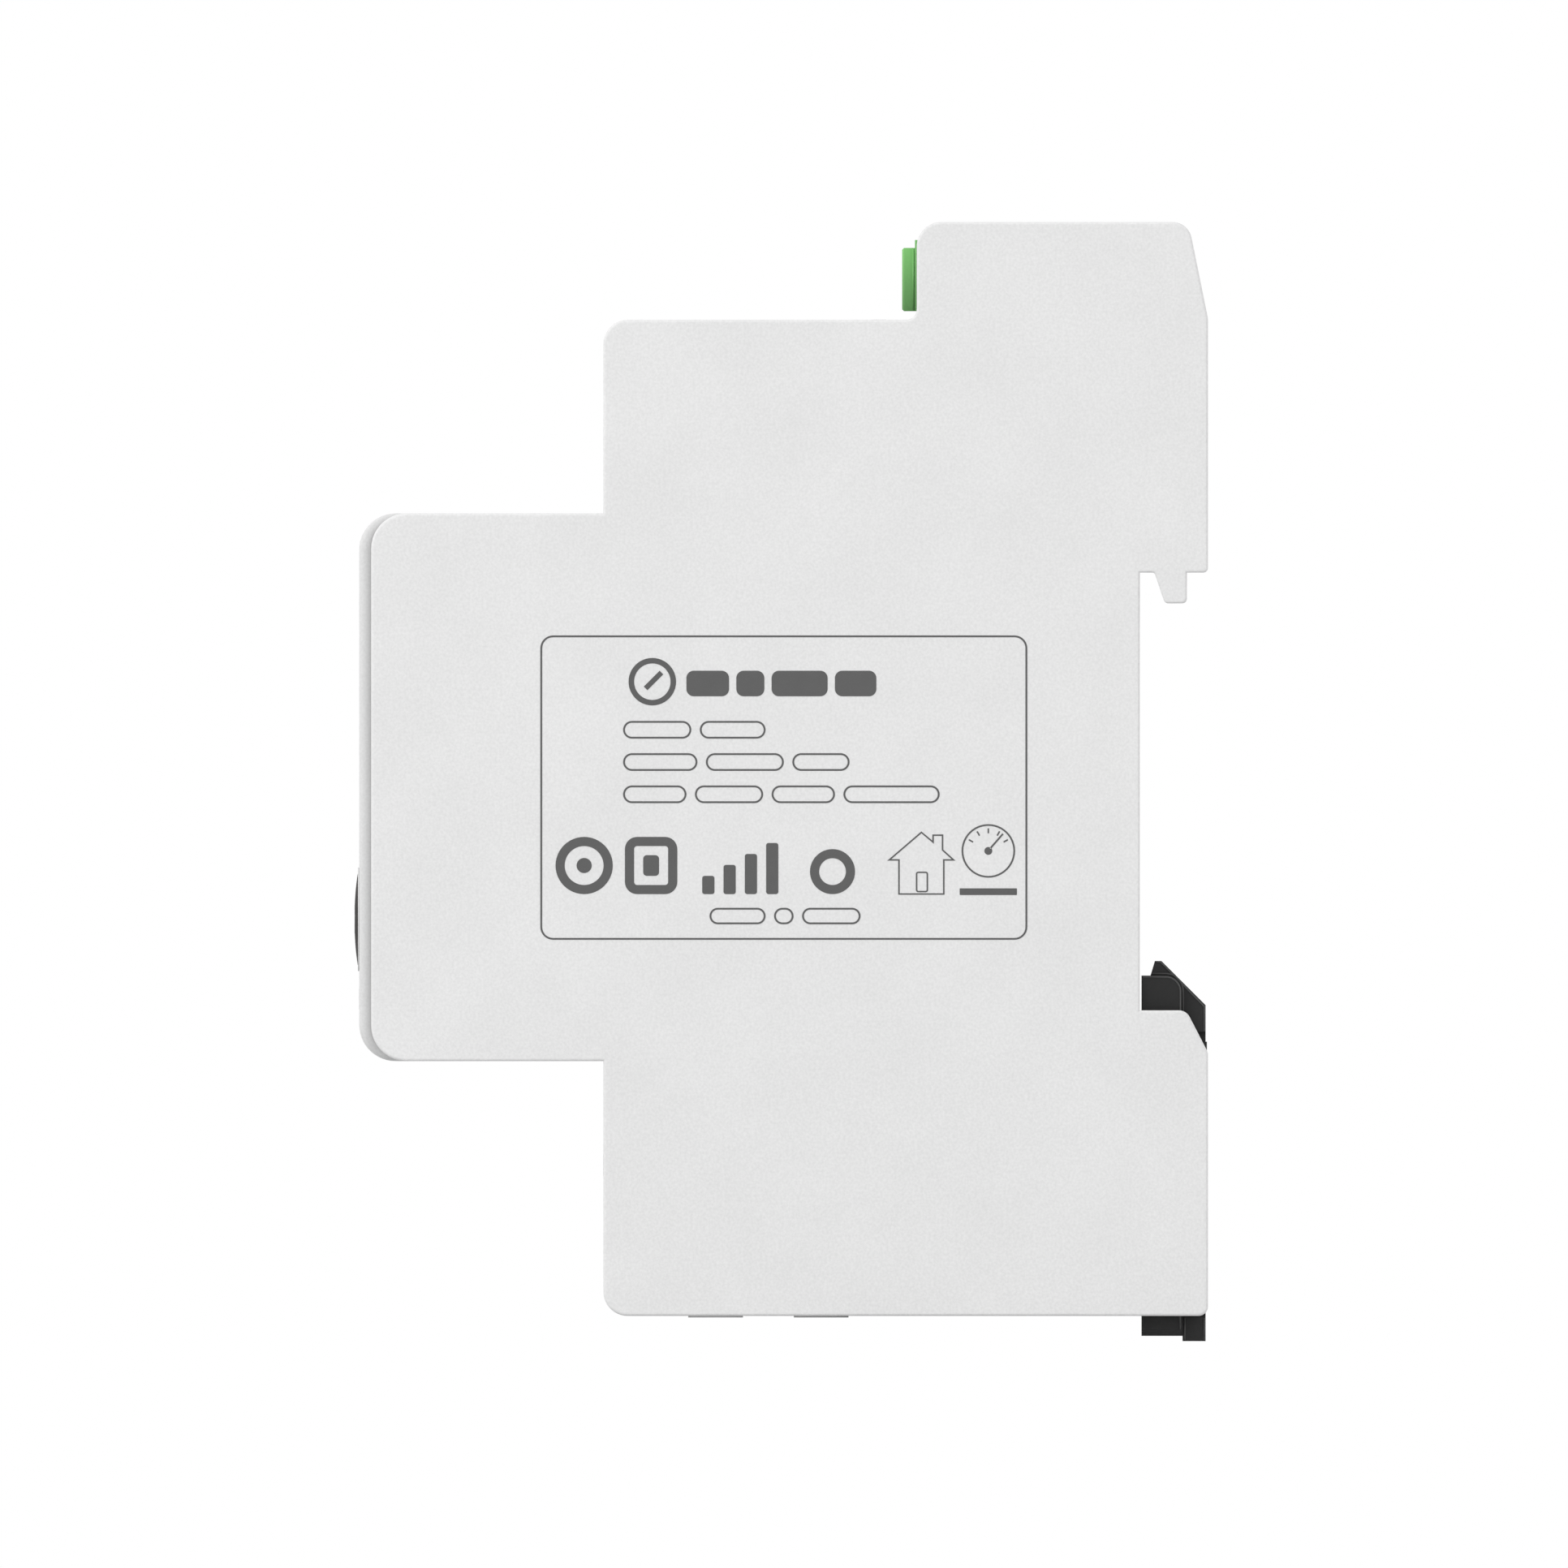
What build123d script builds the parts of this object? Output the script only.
"""A smart electric meter for a 35 mm top-hat rail, two rail modules wide.

The frame: X is the width, Y is the depth with the front towards -Y, and Z is up.
The origin lies on the rail seat, at the middle of the rail and of the width.
All sizes are in millimetres.
"""

from build123d import *
from math import pi
import os

os.makedirs("parts", exist_ok=True)

# ---------------------------------------------------------------- driving dimensions
# housing
HALF_WIDTH = 18.0  # two 18 mm modules
WALL = 1.6
EDGE_ROUND = 0.22  # outer edge of each side panel
SEAM_BEVEL = 0.12  # fine V groove where the two halves meet
FRONT_HALF_HEIGHT = 22.5  # the 45 mm front section
COVER_FRONT_Y = -64.13
PANEL_FRONT_Y = -63.15
SHOULDER_Y = -44.07
SHOULDER_TOP_Z = 38.4
HEAD_FRONT_Y = -18.33
HEAD_TOP_Z = 46.43
BACK_Y = 5.6
BOTTOM_Z = -43.43
RAIL_TOP_Z = 17.63
LEDGE_Z = -18.33
HOOK_TIP_Z = 15.1
HOOK_BACK_Y = 3.87

# front cover
COVER_HALF_WIDTH = 16.3
COVER_BACK_Y = -58.1
COVER_PLATE = 1.8
COVER_WALL = 1.4
COVER_CORNER = 3.0
WINDOW_Z = 7.75  # middle of the display
WINDOW_SIZE = (25.0, 13.4)
LENS_SIZE = (28.0, 16.8)
BUTTON_Z = -10.85
BUTTON_R = 3.75
BUTTON_PROUD = 0.37
LIGHT_X = (-8.0, 0.0, 8.0)
LIGHT_Z = -17.4
LIGHT_R = 1.0

# boards
MAIN_BOARD_Y = (-4.6, -3.0)
DISPLAY_BOARD_Y = (-56.0, -54.8)

# terminals: the wires of the outer pair enter nearer the front than those of the inner pair
FRONT_ROW_Y = -34.85
REAR_ROW_Y = -26.18
TERMINALS = [(-12.0, FRONT_ROW_Y), (-4.0, REAR_ROW_Y), (4.0, REAR_ROW_Y), (12.0, FRONT_ROW_Y)]
SCREW_Z = -36.0
WIRE_R = 1.8
COLLAR_R = 2.25
COLLAR_PROUD = 0.13
INSERT_HALF_WIDTH = 15.3  # the terminal block's foot, which closes the underside
INSERT_Y = (-40.1, -22.0)
CAGE_HALF = 3.0
CAGE_WALL = 1.2
CAGE_TRAVEL = 2.6
SCREW_R = 1.45
SCREW_HEAD_R = 2.2
SCREW_HEAD_T = 1.5
DRIVER_HOLE_R = 1.9
BAR_T = 0.8

# plug-in signal connector
PLUG_Z = 41.7
PLUG_HALF = (11.1, 2.6)
PLUG_Y = (-19.53, -9.2)
HEADER_HALF_WIDTH = 11.9
HEADER_Z = (38.6, 44.83)
HEADER_FLANGE_Z = 44.95  # top of the thin flange round the front
HEADER_FRONT_Y = -18.48
HEADER_FLOOR_Y = -9.0
POLE_X = [-8.75, -5.25, -1.75, 1.75, 5.25, 8.75]

# rail clip
CLIP_Y = (0.13, 5.4)
CLIP_STEP_Y = 3.5
CLIP_HALF_WIDTH = 8.5
CLIP_RAIL_HALF_WIDTH = 9.5
CLIP_NECK_HALF_WIDTH = 5.5
CLIP_TOE = (0.95, 0.5)  # slant at the lower end of each rail
CLIP_SHOULDER_Z = -15.47
CLIP_TIP_Z = -14.27
CLIP_RAIL_END_Z = -45.07
CLIP_END_Z = -45.5
CLIP_TRAVEL = 4.5
LUG_Z = (-40.0, -38.0)
SPRING_Y = 2.6
SPRING_R = 1.35
SPRING_WIRE_R = 0.25
SPRING_TOP_Z = -26.0
SPRING_TURNS = 8

GAP = 0.1  # general clearance between neighbouring pieces

# distances in front of a terminal's wire axis
BAR_FRONT = WIRE_R + BAR_T
CAGE_FRONT = BAR_FRONT + GAP + CAGE_WALL
CHAMBER_FRONT = CAGE_FRONT + CAGE_TRAVEL + 0.05
HEAD_FRONT = CAGE_FRONT + CAGE_TRAVEL + 0.12 + SCREW_HEAD_T
# distances behind it
MOUTH_BACK = 1.85
CAGE_BACK = MOUTH_BACK + CAGE_WALL


# ---------------------------------------------------------------- helpers
def block(x, y, z, mode=Mode.ADD):
    """A box given by its low and high X, Y and Z."""
    with Locations(((x[0] + x[1]) / 2, (y[0] + y[1]) / 2, (z[0] + z[1]) / 2)):
        Box(x[1] - x[0], y[1] - y[0], z[1] - z[0], mode=mode)


def rod_y(x, z, radius, y, mode=Mode.ADD):
    """A round rod along Y from y[0] to y[1]."""
    with Locations((x, (y[0] + y[1]) / 2, z)):
        Cylinder(radius, y[1] - y[0], rotation=(90, 0, 0), mode=mode)


def rod_z(x, y, radius, z, mode=Mode.ADD):
    """A round rod along Z from z[0] to z[1]."""
    with Locations((x, y, (z[0] + z[1]) / 2)):
        Cylinder(radius, z[1] - z[0], mode=mode)


def rod_x(y, z, radius, x, mode=Mode.ADD):
    """A round rod along X from x[0] to x[1]."""
    with Locations(((x[0] + x[1]) / 2, y, z)):
        Cylinder(radius, x[1] - x[0], rotation=(0, 90, 0), mode=mode)


def save(piece, name):
    piece.part.label = name
    export_step(piece.part, f"parts/{name}.step")


# ---------------------------------------------------------------- housing outline
# Each corner of the side outline as (Y, Z) and its rounding radius.
OUTLINE = [
    ((PANEL_FRONT_Y, FRONT_HALF_HEIGHT), 2.9),
    ((SHOULDER_Y, FRONT_HALF_HEIGHT), 0),
    ((SHOULDER_Y, SHOULDER_TOP_Z), 2.0),
    ((HEAD_FRONT_Y, SHOULDER_TOP_Z), 0.9),
    ((HEAD_FRONT_Y, HEAD_TOP_Z), 2.0),
    ((3.99, HEAD_TOP_Z), 1.6),
    ((BACK_Y, 38.5), 1.0),
    ((BACK_Y, RAIL_TOP_Z), 0.4),
    ((HOOK_BACK_Y, RAIL_TOP_Z), 0),
    ((HOOK_BACK_Y, HOOK_TIP_Z), 0.4),
    ((2.05, HOOK_TIP_Z), 0.4),
    ((1.2, RAIL_TOP_Z), 0.25),
    ((0.0, RAIL_TOP_Z), 0),
    ((0.0, LEDGE_Z), 0),
    ((3.81, LEDGE_Z), 1.0),
    ((BACK_Y, -21.8), 0.8),
    ((BACK_Y, BOTTOM_Z), 0.8),
    ((SHOULDER_Y, BOTTOM_Z), 2.0),
    ((SHOULDER_Y, -FRONT_HALF_HEIGHT), 0),
    ((PANEL_FRONT_Y, -FRONT_HALF_HEIGHT), 2.9),
]

with BuildSketch() as outline:
    with BuildLine():
        Polyline([corner for corner, radius in OUTLINE], close=True)
    make_face()
    for corner, radius in OUTLINE:
        if radius:
            fillet(vertices().sort_by_distance((corner[0], corner[1], 0))[0], radius)

# The hollow behind the walls, as (Y, Z) corners.
HOLLOW_FRONT_Y = COVER_BACK_Y + GAP
HOLLOW = [
    (HOLLOW_FRONT_Y, FRONT_HALF_HEIGHT - WALL),
    (SHOULDER_Y + WALL, FRONT_HALF_HEIGHT - WALL),
    (SHOULDER_Y + WALL, SHOULDER_TOP_Z - WALL),
    (HEAD_FRONT_Y + WALL, SHOULDER_TOP_Z - WALL),
    (HEAD_FRONT_Y + WALL, HEAD_TOP_Z - 1.5),
    (2.6, HEAD_TOP_Z - 1.5),
    (BACK_Y - WALL, 38.0),
    (BACK_Y - WALL, RAIL_TOP_Z + WALL),
    (-WALL, RAIL_TOP_Z + WALL),
    (-WALL, BOTTOM_Z + WALL),
    (SHOULDER_Y + WALL, BOTTOM_Z + WALL),
    (SHOULDER_Y + WALL, -FRONT_HALF_HEIGHT + WALL),
    (HOLLOW_FRONT_Y, -FRONT_HALF_HEIGHT + WALL),
]
INNER_X = HALF_WIDTH - WALL

# Pegs on the left half fit sockets in the right half, at these (Y, Z) places.
PEGS = [(-48.0, 16.5), (-48.0, -16.5), (-38.5, 32.5), (-38.5, -24.8), (0.9, 40.0)]
PEG_R = 1.15
PEG_LENGTH = 4.5
BOSS_R = 2.2


def span(side, low, high):
    """The X range from low to high on one side of the middle, in rising order."""
    return (low, high) if side > 0 else (-high, -low)


def housing_half(side):
    """One half of the housing: side is 1 for the right half and -1 for the left."""
    with BuildPart() as half:
        with BuildSketch(Plane.YZ):
            add(outline.sketch)
        extrude(amount=side * HALF_WIDTH)
        flats = half.faces().filter_by(Axis.X).sort_by(Axis.X)
        panel, seam = (flats[-1], flats[0]) if side > 0 else (flats[0], flats[-1])
        fillet(panel.edges(), EDGE_ROUND)
        chamfer(seam.edges(), SEAM_BEVEL)
        # hollow, and the open front that takes the cover
        with BuildSketch(Plane.YZ):
            Polygon(*HOLLOW, align=None)
        extrude(amount=side * INNER_X, mode=Mode.SUBTRACT)
        front_y = (COVER_FRONT_Y - 1, HOLLOW_FRONT_Y)
        front_z = (-FRONT_HALF_HEIGHT - 1, FRONT_HALF_HEIGHT + 1)
        block(span(side, 0, INNER_X), front_y, front_z, mode=Mode.SUBTRACT)
        # channel for the rail clip, narrower at the back so that its lips hold the clip in
        channel_z = (BOTTOM_Z - 1, LEDGE_Z)
        block(span(side, 0, 9.7), (0, 3.65), channel_z, mode=Mode.SUBTRACT)
        block(span(side, 0, 8.75), (3.6, BACK_Y + 1), channel_z, mode=Mode.SUBTRACT)
        block(span(side, 0, 3.4), (-0.5, 4.8), LUG_Z)
        # cored-out pockets beside the channel
        for pocket_z in ((-42.0, -34.0), (-32.8, -24.4)):
            block(span(side, 11.2, INNER_X), (0.4, BACK_Y + 1), pocket_z, mode=Mode.SUBTRACT)
        # cut-out in the bottom wall for the foot of the terminal block
        foot_y = (INSERT_Y[0] - GAP, INSERT_Y[1] + GAP)
        foot_z = (BOTTOM_Z - 1, BOTTOM_Z + WALL + 0.1)
        block(span(side, 0, INSERT_HALF_WIDTH + GAP), foot_y, foot_z, mode=Mode.SUBTRACT)
        # screwdriver holes in the front wall
        for x, row_y in TERMINALS:
            if x * side > 0:
                wall_y = (SHOULDER_Y - 1, SHOULDER_Y + WALL + 1)
                rod_y(x, SCREW_Z, DRIVER_HOLE_R, wall_y, mode=Mode.SUBTRACT)
                if row_y == FRONT_ROW_Y:
                    head_y = (row_y - HEAD_FRONT - 0.13, SHOULDER_Y + WALL + 1)
                    rod_y(x, SCREW_Z, SCREW_HEAD_R + 0.2, head_y, mode=Mode.SUBTRACT)
        # opening for the plug-in connector
        opening_z = (HEADER_Z[0] - 0.05, HEADER_FLANGE_Z + 0.05)
        opening_y = (HEAD_FRONT_Y - 1.3, HEAD_FRONT_Y + WALL + 0.3)
        block(span(side, 0, HEADER_HALF_WIDTH + GAP), opening_y, opening_z, mode=Mode.SUBTRACT)
        # bosses that meet at the seam
        for boss_y, boss_z in PEGS:
            rod_x(boss_y, boss_z, BOSS_R, span(side, 0, INNER_X + 0.4))
            if side > 0:
                rod_x(boss_y, boss_z, PEG_R + GAP, (0, PEG_LENGTH + 0.5), mode=Mode.SUBTRACT)
            else:
                rod_x(boss_y, boss_z, PEG_R, (-1, PEG_LENGTH))
        # ribs that hold the main board and back up the display board
        rib_x = span(side, 14.6, INNER_X + 0.4)
        block(rib_x, (MAIN_BOARD_Y[0] - 1.3, MAIN_BOARD_Y[0] - GAP), (-20, 36))
        block(rib_x, (MAIN_BOARD_Y[1] + GAP, -1.2), (-20, 17))
        for rib_z in ((17.0, 19.0), (-19.0, -17.0)):
            block(span(side, 13.2, INNER_X + 0.4), (-54.7, -53.2), rib_z)
        # catches for the cover's hooks
        for catch_z in ((7.0, 15.0), (-15.0, -7.0)):
            catch_x = span(side, INNER_X - 0.1, INNER_X + 0.45)
            block(catch_x, (-55.0, -53.3), catch_z, mode=Mode.SUBTRACT)
    return half


right_shell = housing_half(1)
save(right_shell, "right_shell")
left_shell = housing_half(-1)
save(left_shell, "left_shell")

# ---------------------------------------------------------------- front cover
COVER_PLATE_BACK_Y = COVER_FRONT_Y + COVER_PLATE

with BuildPart() as front_cover:
    with BuildSketch(Plane.YZ.offset(-COVER_HALF_WIDTH)):
        with BuildLine():
            Polyline(
                (COVER_BACK_Y, FRONT_HALF_HEIGHT),
                (COVER_FRONT_Y, FRONT_HALF_HEIGHT),
                (COVER_FRONT_Y, -FRONT_HALF_HEIGHT),
                (COVER_BACK_Y, -FRONT_HALF_HEIGHT),
                close=True,
            )
        make_face()
        fillet(vertices().group_by(Axis.X)[0], COVER_CORNER)
    extrude(amount=2 * COVER_HALF_WIDTH)
    for cover_side in front_cover.faces().filter_by(Axis.X):
        rounded = cover_side.edges().filter_by(Axis.Y, reverse=True).sort_by(Axis.Y)[:3]
        fillet(rounded, 0.8)
    inner_x = COVER_HALF_WIDTH - COVER_WALL
    inner_z = FRONT_HALF_HEIGHT - COVER_WALL
    hollow_y = (COVER_PLATE_BACK_Y, COVER_BACK_Y + 1)
    block((-inner_x, inner_x), hollow_y, (-inner_z, inner_z), mode=Mode.SUBTRACT)
    # spring arms with a small hook at each end
    for side in (-1, 1):
        for arm_z in ((7.4, 14.6), (-14.6, -7.4)):
            block(span(side, inner_x, COVER_HALF_WIDTH), (COVER_BACK_Y - 1, -53.0), arm_z)
            with BuildSketch(Plane.XY.offset(arm_z[0])):
                edge_x = side * COVER_HALF_WIDTH
                hook_x = side * (COVER_HALF_WIDTH + 0.4)
                Polygon((edge_x, -53.4), (hook_x, -54.0), (hook_x, -54.8), (edge_x, -54.8), align=None)
            extrude(amount=arm_z[1] - arm_z[0])
    # display window with a step for the lens
    window_y = (COVER_FRONT_Y - 1, COVER_PLATE_BACK_Y + 1)
    lens_y = (COVER_FRONT_Y - 1, COVER_FRONT_Y + 1.1)
    for size, cut_y in ((WINDOW_SIZE, window_y), (LENS_SIZE, lens_y)):
        cut_x = (-size[0] / 2, size[0] / 2)
        cut_z = (WINDOW_Z - size[1] / 2, WINDOW_Z + size[1] / 2)
        block(cut_x, cut_y, cut_z, mode=Mode.SUBTRACT)
    # holes for the button and the light pipes
    rod_y(0, BUTTON_Z, BUTTON_R + GAP, window_y, mode=Mode.SUBTRACT)
    for light_x in LIGHT_X:
        rod_y(light_x, LIGHT_Z, LIGHT_R + 0.03, window_y, mode=Mode.SUBTRACT)
save(front_cover, "front_cover")

with BuildPart() as display_window:
    lens_gap = 0.05
    lens_x = LENS_SIZE[0] / 2 - lens_gap
    lens_half_z = LENS_SIZE[1] / 2 - lens_gap
    lens_z = (WINDOW_Z - lens_half_z, WINDOW_Z + lens_half_z)
    block((-lens_x, lens_x), (COVER_FRONT_Y + 0.06, COVER_FRONT_Y + 1.1), lens_z)
    fillet(display_window.edges().filter_by(Axis.Y), 0.6)
save(display_window, "display_window")

# ---------------------------------------------------------------- display stack
LCD_HALF = (14.0, 9.0)
LCD_Y = (COVER_PLATE_BACK_Y + 0.13, COVER_PLATE_BACK_Y + 2.33)

with BuildPart() as lcd_panel:
    lcd_z = (WINDOW_Z - LCD_HALF[1], WINDOW_Z + LCD_HALF[1])
    block((-LCD_HALF[0], LCD_HALF[0]), (LCD_Y[0], LCD_Y[0] + 1.1), lcd_z)
    block((-LCD_HALF[0], LCD_HALF[0]), (LCD_Y[0] + 1.1, LCD_Y[1]), (lcd_z[0] + 1.5, lcd_z[1]))
save(lcd_panel, "lcd_panel")

with BuildPart() as lcd_backlight:
    light_z = (WINDOW_Z - 8.6, WINDOW_Z + 8.6)
    block((-13.7, 13.7), (LCD_Y[1] + 0.05, DISPLAY_BOARD_Y[0]), light_z)
save(lcd_backlight, "lcd_backlight")

with BuildPart() as display_board:
    block((-14.5, 14.5), DISPLAY_BOARD_Y, (-19.5, 19.5))
    for corner_x, corner_z in ((-12.5, 18.2), (12.5, 18.2), (-12.5, -18.2), (12.5, -18.2)):
        rod_y(corner_x, corner_z, 0.6, (DISPLAY_BOARD_Y[0] - 1, -54), mode=Mode.SUBTRACT)
save(display_board, "display_board")

with BuildPart() as light_pipes:
    for light_x in LIGHT_X:
        rod_y(light_x, LIGHT_Z, LIGHT_R, (COVER_FRONT_Y, -57.0))
        rod_y(light_x, LIGHT_Z, 1.5, (COVER_PLATE_BACK_Y + 0.05, COVER_PLATE_BACK_Y + 0.85))
save(light_pipes, "light_pipes")

with BuildPart() as status_leds:
    for light_x in LIGHT_X:
        led_z = (LIGHT_Z - 0.5, LIGHT_Z + 0.5)
        block((light_x - 0.9, light_x + 0.9), (DISPLAY_BOARD_Y[0] - 0.7, DISPLAY_BOARD_Y[0]), led_z)
save(status_leds, "status_leds")

# ---------------------------------------------------------------- push button and its switch
SWITCH_FRONT_Y = -59.5
BUTTON_STEM_Y = -60.45

with BuildPart() as button_cap:
    # half profile in the plane X = 0: distance from the button's axis, then Y
    with BuildSketch(Plane.XY.offset(BUTTON_Z)):
        rim_y = COVER_FRONT_Y - 0.12
        flange_y = COVER_PLATE_BACK_Y + 0.1
        with BuildLine():
            Polyline(
                (BUTTON_R, rim_y),
                (BUTTON_R, flange_y),
                (BUTTON_R + 0.7, flange_y),
                (BUTTON_R + 0.7, flange_y + 0.7),
                (1.5, flange_y + 0.7),
                (1.5, BUTTON_STEM_Y),
                (0, BUTTON_STEM_Y),
                (0, COVER_FRONT_Y - BUTTON_PROUD),
            )
            ThreePointArc(
                (0, COVER_FRONT_Y - BUTTON_PROUD),
                (BUTTON_R * 0.62, COVER_FRONT_Y - BUTTON_PROUD * 0.8),
                (BUTTON_R, rim_y),
            )
        make_face()
    revolve(axis=Axis((0, 0, BUTTON_Z), (0, 1, 0)))
save(button_cap, "button_cap")

with BuildPart() as switch_body:
    block((-3, 3), (SWITCH_FRONT_Y, DISPLAY_BOARD_Y[0]), (BUTTON_Z - 3, BUTTON_Z + 3))
    rod_y(0, BUTTON_Z, 1.85, (SWITCH_FRONT_Y - 1, SWITCH_FRONT_Y + 1.2), mode=Mode.SUBTRACT)
    fillet(switch_body.edges().filter_by(Axis.Y).filter_by(GeomType.LINE), 0.4)
save(switch_body, "switch_body")

with BuildPart() as switch_plunger:
    rod_y(0, BUTTON_Z, 1.75, (BUTTON_STEM_Y + 0.02, SWITCH_FRONT_Y + 0.6))
save(switch_plunger, "switch_plunger")

# ---------------------------------------------------------------- main board and what it carries
MAIN_FRONT_Y = MAIN_BOARD_Y[0]
TAIL_Y = MAIN_BOARD_Y[1] + 0.8  # soldered pins end here, behind the board
BAR_Z = (-28.8, -28.0)

with BuildPart() as main_board:
    block((-15.6, 15.6), MAIN_BOARD_Y, (-41.0, 44.4))
    hole_y = (MAIN_BOARD_Y[0] - 1, MAIN_BOARD_Y[1] + 1)
    for x, row_y in TERMINALS:
        block((x - 0.7, x + 0.7), hole_y, (BAR_Z[0] - GAP, BAR_Z[1] + GAP), mode=Mode.SUBTRACT)
    for x in POLE_X:
        rod_y(x, PLUG_Z, 0.7, hole_y, mode=Mode.SUBTRACT)
save(main_board, "main_board")

TRANSFORMER_Z = -11.0

with BuildPart() as transformer_core:
    core_z = (TRANSFORMER_Z - 4.0, TRANSFORMER_Z + 4.0)
    block((-6.5, 6.5), (-16.0, -6.0), core_z)
    for side in (-1, 1):
        block(span(side, 2.2, 4.9), (-14.5, -7.5), (core_z[0] - 1, core_z[1] + 1), mode=Mode.SUBTRACT)
save(transformer_core, "transformer_core")

with BuildPart() as transformer_coil:
    coil_y = (-14.4, -7.6)
    block((-4.8, 4.8), coil_y, (TRANSFORMER_Z - 6.6, TRANSFORMER_Z + 6.6))
    fillet(transformer_coil.edges().filter_by(Axis.Y), 1.5)
    core_clear_z = (TRANSFORMER_Z - 4.1, TRANSFORMER_Z + 4.1)
    block((-2.3, 2.3), (-15, -7), core_clear_z, mode=Mode.SUBTRACT)
save(transformer_coil, "transformer_coil")

with BuildPart() as transformer_base:
    block((-6.5, 6.5), (-5.9, MAIN_FRONT_Y), (TRANSFORMER_Z - 7.0, TRANSFORMER_Z + 7.0))
save(transformer_base, "transformer_base")

with BuildPart() as filter_capacitor:
    block((-14.4, -9.2), (-15.5, MAIN_FRONT_Y), (-24.0, -11.0))
    fillet(filter_capacitor.edges().filter_by(Axis.Y), 0.5)
save(filter_capacitor, "filter_capacitor")

with BuildPart() as bulk_capacitors:
    for capacitor_z in (-13.0, -20.6):
        rod_y(11.0, capacitor_z, 3.15, (-16.5, MAIN_FRONT_Y))
    fillet(bulk_capacitors.faces().sort_by(Axis.Y)[:2].edges(), 0.4)
save(bulk_capacitors, "bulk_capacitors")

with BuildPart() as surge_varistor:
    rod_x(-10.2, -4.4, 4.4, (-13.6, -10.0))
    for lead_z in (-6.9, -1.9):
        rod_y(-11.8, lead_z, 0.3, (-9.0, MAIN_FRONT_Y))
save(surge_varistor, "surge_varistor")

with BuildPart() as supply_fuse:
    rod_z(0, -7.6, 1.6, (-25.6, -20.0))
    for lead_z in (-25.2, -20.4):
        rod_y(0, lead_z, 0.3, (-7.0, MAIN_FRONT_Y))
save(supply_fuse, "supply_fuse")

with BuildPart() as opto_couplers:
    for low_z in (-7.0, -1.0):
        block((9.0, 14.0), (-8.0, MAIN_FRONT_Y), (low_z, low_z + 4.6))
save(opto_couplers, "opto_couplers")

with BuildPart() as metering_chip:
    block((-14.6, -8.6), (-6.3, MAIN_FRONT_Y), (3.0, 11.0))
    chamfer(metering_chip.faces().sort_by(Axis.Y)[0].edges(), 0.25)
save(metering_chip, "metering_chip")

with BuildPart() as clock_crystal:
    block((-13.6, -9.2), (-6.4, MAIN_FRONT_Y), (13.2, 15.2))
    fillet(clock_crystal.edges().filter_by(Axis.Y), 0.9)
save(clock_crystal, "clock_crystal")

with BuildPart() as bus_driver:
    block((10.0, 14.0), (-6.3, MAIN_FRONT_Y), (28.0, 33.0))
    chamfer(bus_driver.faces().sort_by(Axis.Y)[0].edges(), 0.25)
save(bus_driver, "bus_driver")

with BuildPart() as burden_resistors:
    for resistor_x in (-12.6, -10.4, 10.4, 12.6):
        block((resistor_x - 0.8, resistor_x + 0.8), (-5.3, MAIN_FRONT_Y), (35.0, 38.0))
save(burden_resistors, "burden_resistors")

with BuildPart() as radio_board:
    block((-8.0, 8.0), (-5.5, MAIN_FRONT_Y), (9.0, 33.0))
save(radio_board, "radio_board")

with BuildPart() as radio_shield:
    block((-7.2, 7.2), (-8.0, -5.5), (9.6, 25.5))
    fillet(radio_shield.edges().filter_by(Axis.Y), 0.5)
    block((-7.0, 7.0), (-7.8, -5.4), (9.8, 25.3), mode=Mode.SUBTRACT)
save(radio_shield, "radio_shield")

# ---------------------------------------------------------------- flat cable between the boards
CABLE_Z = 1.5

with BuildPart() as cable_sockets:
    for socket_y in ((MAIN_FRONT_Y - 2.4, MAIN_FRONT_Y), (DISPLAY_BOARD_Y[1], DISPLAY_BOARD_Y[1] + 2.4)):
        block((-5.8, 5.8), socket_y, (CABLE_Z - 1.6, CABLE_Z + 1.6))
    slot_z = (CABLE_Z - 0.2, CABLE_Z + 0.2)
    block((-5.1, 5.1), (DISPLAY_BOARD_Y[1] + 0.8, MAIN_FRONT_Y - 0.8), slot_z, mode=Mode.SUBTRACT)
save(cable_sockets, "cable_sockets")

with BuildPart() as flat_cable:
    block((-5.0, 5.0), (DISPLAY_BOARD_Y[1] + 0.9, MAIN_FRONT_Y - 0.9), (CABLE_Z - 0.12, CABLE_Z + 0.12))
save(flat_cable, "flat_cable")

# ---------------------------------------------------------------- terminals
BLOCK_TOP_Z = -31.0
CHAMBER_HALF = CAGE_HALF + GAP
COLLAR_END_Z = BOTTOM_Z - COLLAR_PROUD

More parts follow.
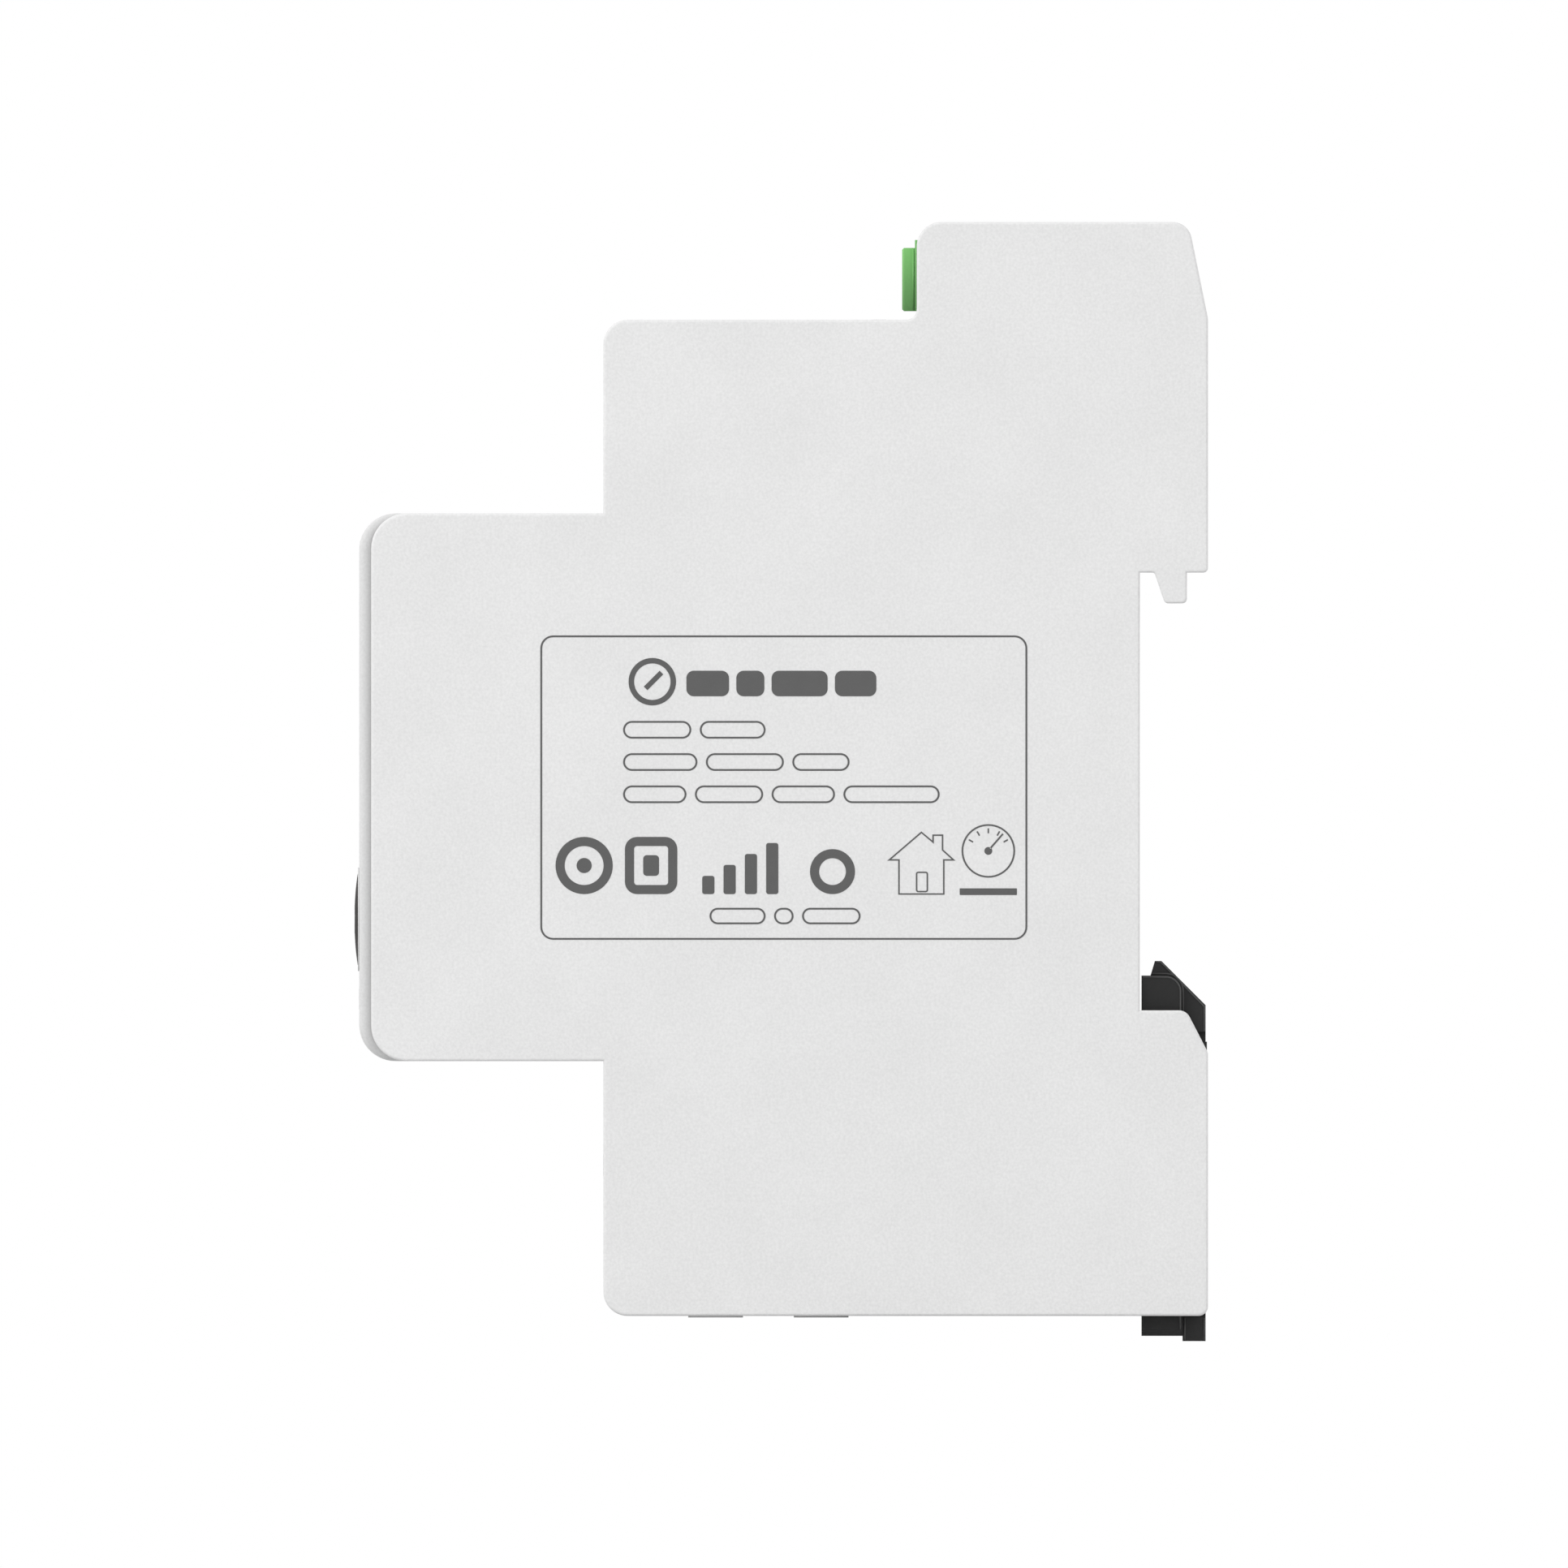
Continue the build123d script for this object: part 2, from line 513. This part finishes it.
with BuildPart() as terminal_block:
    block((-16.2, 16.2), (-42.35, -21.0), (BOTTOM_Z + WALL + 0.08, BLOCK_TOP_Z))
    block((-INSERT_HALF_WIDTH, INSERT_HALF_WIDTH), INSERT_Y, (BOTTOM_Z, BOTTOM_Z + WALL + 1))
    for x, row_y in TERMINALS:
        rod_z(x, row_y, COLLAR_R, (COLLAR_END_Z, BOTTOM_Z + WALL))
    for x, row_y in TERMINALS:
        chamber_x = (x - CHAMBER_HALF, x + CHAMBER_HALF)
        chamber_z = (SCREW_Z - CHAMBER_HALF, SCREW_Z + CHAMBER_HALF)
        chamber_y = (row_y - CHAMBER_FRONT, row_y + CAGE_BACK + GAP)
        block(chamber_x, chamber_y, chamber_z, mode=Mode.SUBTRACT)
        # tunnel for the screw: wide round the head, narrow in front of it
        head_y = (row_y - HEAD_FRONT - GAP, row_y - CHAMBER_FRONT + 0.5)
        rod_y(x, SCREW_Z, SCREW_HEAD_R + 0.15, head_y, mode=Mode.SUBTRACT)
        rod_y(x, SCREW_Z, DRIVER_HOLE_R, (SHOULDER_Y, head_y[0] + 0.2), mode=Mode.SUBTRACT)
        # wire entry with a small lead-in
        rod_z(x, row_y, WIRE_R, (COLLAR_END_Z - 1, SCREW_Z - 2), mode=Mode.SUBTRACT)
        # slot for the contact bar
        slot_y = (row_y - BAR_FRONT - GAP, row_y - WIRE_R + GAP)
        block((x - 2.1, x + 2.1), slot_y, (SCREW_Z, BLOCK_TOP_Z + 1), mode=Mode.SUBTRACT)
    mouths = terminal_block.edges().filter_by(GeomType.CIRCLE).group_by(Axis.Z)[0]
    chamfer(mouths.sort_by(SortBy.LENGTH)[:4], 0.2)
save(terminal_block, "terminal_block")

with BuildPart() as contact_bars:
    for x, row_y in TERMINALS:
        bar_y = row_y - BAR_FRONT
        block((x - 2.0, x + 2.0), (bar_y, bar_y + BAR_T), (SCREW_Z - 2.9, BAR_Z[1]))
        block((x - 2.0, x + 2.0), (bar_y, MAIN_FRONT_Y - 0.4), BAR_Z)
        block((x - 0.6, x + 0.6), (MAIN_FRONT_Y - 0.5, TAIL_Y), BAR_Z)
save(contact_bars, "contact_bars")


def clamp_cage(x, row_y):
    """The clamp cage of one terminal, open as supplied."""
    with BuildPart() as cage:
        cage_y = (row_y - CAGE_FRONT, row_y + CAGE_BACK)
        block((x - CAGE_HALF, x + CAGE_HALF), cage_y, (SCREW_Z - CAGE_HALF, SCREW_Z + CAGE_HALF))
        fillet(cage.edges().filter_by(Axis.Z), 0.4)
        mouth_y = (row_y - BAR_FRONT - GAP, row_y + MOUTH_BACK)
        block((x - 2.4, x + 2.4), mouth_y, (SCREW_Z - 4, SCREW_Z + 4), mode=Mode.SUBTRACT)
        rod_y(x, SCREW_Z, SCREW_R + 0.05, (cage_y[0] - 1, mouth_y[0] + 1), mode=Mode.SUBTRACT)
    return cage


def clamp_screw(x, row_y):
    """The screw of one terminal, with a slotted cross recess in its head."""
    head_y = row_y - HEAD_FRONT
    with BuildPart() as screw:
        rod_y(x, SCREW_Z, SCREW_HEAD_R, (head_y, head_y + SCREW_HEAD_T))
        chamfer(screw.faces().sort_by(Axis.Y)[0].edges(), 0.15)
        rod_y(x, SCREW_Z, SCREW_R, (head_y + SCREW_HEAD_T - 0.1, row_y - BAR_FRONT - 0.05))
        recess_y = (head_y - 1, head_y + 0.7)
        block((x - 1.75, x + 1.75), recess_y, (SCREW_Z - 0.28, SCREW_Z + 0.28), mode=Mode.SUBTRACT)
        block((x - 0.4, x + 0.4), recess_y, (SCREW_Z - 1.1, SCREW_Z + 1.1), mode=Mode.SUBTRACT)
    return screw


for number, (x, row_y) in enumerate(TERMINALS, start=1):
    save(clamp_cage(x, row_y), f"clamp_cage_{number}")
    save(clamp_screw(x, row_y), f"terminal_screw_{number}")

# ---------------------------------------------------------------- plug-in signal connector
PIN_HALF = 0.4
PIN_TIP_Y = -15.6

with BuildPart() as plug_header:
    header_x = (-HEADER_HALF_WIDTH, HEADER_HALF_WIDTH)
    block(header_x, (HEADER_FRONT_Y, MAIN_FRONT_Y), HEADER_Z)
    block(header_x, (HEADER_FRONT_Y, HEADER_FRONT_Y + 1.2), (HEADER_Z[0], HEADER_FLANGE_Z))
    cavity_x = PLUG_HALF[0] + GAP
    cavity_z = (PLUG_Z - PLUG_HALF[1] - GAP, PLUG_Z + PLUG_HALF[1] + GAP)
    block((-cavity_x, cavity_x), (HEADER_FRONT_Y - 1, HEADER_FLOOR_Y), cavity_z, mode=Mode.SUBTRACT)
    # the lower lip ends behind the housing's face
    lip_y = (HEADER_FRONT_Y - 1, HEAD_FRONT_Y + 0.2)
    block((-13, 13), lip_y, (HEADER_Z[0] - 1, cavity_z[0] + 0.1), mode=Mode.SUBTRACT)
    for x in POLE_X:
        pin_x = (x - PIN_HALF, x + PIN_HALF)
        pin_z = (PLUG_Z - PIN_HALF, PLUG_Z + PIN_HALF)
        block(pin_x, (HEADER_FLOOR_Y - 1, MAIN_FRONT_Y + 1), pin_z, mode=Mode.SUBTRACT)
save(plug_header, "plug_header")

with BuildPart() as header_pins:
    for x in POLE_X:
        pin_z = (PLUG_Z - PIN_HALF, PLUG_Z + PIN_HALF)
        block((x - PIN_HALF, x + PIN_HALF), (PIN_TIP_Y, TAIL_Y), pin_z)
    chamfer(header_pins.faces().filter_by(Axis.Y).sort_by(Axis.Y)[:6].edges(), 0.15)
save(header_pins, "header_pins")

with BuildPart() as plug_body:
    plug_z = (PLUG_Z - PLUG_HALF[1], PLUG_Z + PLUG_HALF[1])
    block((-PLUG_HALF[0], PLUG_HALF[0]), PLUG_Y, plug_z)
    chamfer(plug_body.faces().sort_by(Axis.Y)[0].edges(), 0.15)
    for x in POLE_X:
        # chamber for the spring contact, square wire entry, and slot that takes a release tool
        chamber_z = (PLUG_Z - 1.2, PLUG_Z + 1.2)
        block((x - 0.9, x + 0.9), (-16.2, PLUG_Y[1] + 1), chamber_z, mode=Mode.SUBTRACT)
        entry_z = (PLUG_Z - 1.8, PLUG_Z + 0.2)
        block((x - 1.0, x + 1.0), (PLUG_Y[0] - 1, -16.0), entry_z, mode=Mode.SUBTRACT)
        slot_z = (PLUG_Z + 1.15, PLUG_Z + 2.0)
        block((x - 0.9, x + 0.9), (PLUG_Y[0] - 1, -16.6), slot_z, mode=Mode.SUBTRACT)
save(plug_body, "plug_body")

with BuildPart() as plug_contacts:
    for x in POLE_X:
        for side in (-1, 1):
            leaf_z = sorted((PLUG_Z + side * 0.5, PLUG_Z + side * 0.9))
            block((x - 0.7, x + 0.7), (-16.0, PLUG_Y[1] - 0.3), leaf_z)
        block((x - 0.7, x + 0.7), (-16.1, -15.75), (PLUG_Z - 0.9, PLUG_Z + 0.9))
save(plug_contacts, "plug_contacts")

# ---------------------------------------------------------------- rail clip and its spring
with BuildPart() as din_clip:
    with BuildSketch(Plane.YZ.offset(-CLIP_HALF_WIDTH)):
        with BuildLine():
            Polyline(
                (CLIP_Y[0], CLIP_RAIL_END_Z),
                (CLIP_Y[0], CLIP_SHOULDER_Z),
                (0.87, CLIP_SHOULDER_Z),
                (1.23, CLIP_TIP_Z),
                (1.77, CLIP_TIP_Z),
                (CLIP_Y[1], CLIP_TIP_Z - 3.63),
                (CLIP_Y[1], CLIP_END_Z),
                (CLIP_STEP_Y, CLIP_END_Z),
                (CLIP_STEP_Y, CLIP_RAIL_END_Z),
                close=True,
            )
        make_face()
    extrude(amount=2 * CLIP_HALF_WIDTH)
    # the neck behind the housing's lips is narrower than the head
    for side in (-1, 1):
        neck_x = span(side, CLIP_NECK_HALF_WIDTH, CLIP_HALF_WIDTH + 1)
        block(neck_x, (CLIP_STEP_Y, CLIP_Y[1] + 1), (BOTTOM_Z - 0.05, -20.1), mode=Mode.SUBTRACT)
    # side rails that run in the housing's channel, rounded at the top of their back edge
    for side in (-1, 1):
        with BuildSketch(Plane.YZ.offset(side * (CLIP_HALF_WIDTH - 0.5))):
            with BuildLine():
                Polyline(
                    (CLIP_Y[0], CLIP_RAIL_END_Z),
                    (CLIP_Y[0], CLIP_SHOULDER_Z),
                    (CLIP_STEP_Y - 0.05, CLIP_SHOULDER_Z),
                    (CLIP_STEP_Y - 0.05, CLIP_RAIL_END_Z),
                    close=True,
                )
            make_face()
            fillet(vertices().sort_by_distance((CLIP_STEP_Y - 0.05, CLIP_SHOULDER_Z, 0))[0], 1.3)
        extrude(amount=side * (CLIP_RAIL_HALF_WIDTH - CLIP_HALF_WIDTH + 0.5))
        # the lower end of each rail slants inwards
        with BuildSketch(Plane.XZ.offset(-CLIP_STEP_Y - 1)):
            toe_x = side * (CLIP_RAIL_HALF_WIDTH + 0.01)
            Polygon(
                (toe_x, CLIP_RAIL_END_Z + CLIP_TOE[1]),
                (toe_x, CLIP_RAIL_END_Z - 0.01),
                (side * (CLIP_RAIL_HALF_WIDTH - CLIP_TOE[0]), CLIP_RAIL_END_Z - 0.01),
                align=None,
            )
        extrude(amount=CLIP_STEP_Y + 2, mode=Mode.SUBTRACT)
    # T-shaped window: the housing's lug stops the clip at each end of its wide part
    through_y = (CLIP_Y[0] - 1, CLIP_Y[1] + 1)
    wide_z = (LUG_Z[0] - GAP, LUG_Z[1] + CLIP_TRAVEL + GAP)
    block((-3.6, 3.6), through_y, wide_z, mode=Mode.SUBTRACT)
    block((-2.1, 2.1), through_y, (wide_z[1] - 1, SPRING_TOP_Z), mode=Mode.SUBTRACT)
    rod_z(0, SPRING_Y, 0.85, (SPRING_TOP_Z - 1.8, SPRING_TOP_Z + 0.5))
    # slot for the screwdriver that pulls the clip down
    block((-3.0, 3.0), (1.0, 2.5), (CLIP_END_Z - 1, -42.4), mode=Mode.SUBTRACT)
save(din_clip, "din_clip")

with BuildPart() as clip_spring:
    spring_low_z = LUG_Z[1] + SPRING_WIRE_R + 0.05
    spring_height = SPRING_TOP_Z - SPRING_WIRE_R - 0.05 - spring_low_z
    pitch = spring_height / SPRING_TURNS
    with BuildLine():
        Helix(pitch, spring_height, SPRING_R, center=(0, SPRING_Y, spring_low_z))
    start_slope = pitch / (2 * pi * SPRING_R)
    with BuildSketch(Plane((SPRING_R, SPRING_Y, spring_low_z), z_dir=(0, 1, start_slope))):
        Circle(SPRING_WIRE_R)
    sweep(is_frenet=True)
save(clip_spring, "clip_spring")
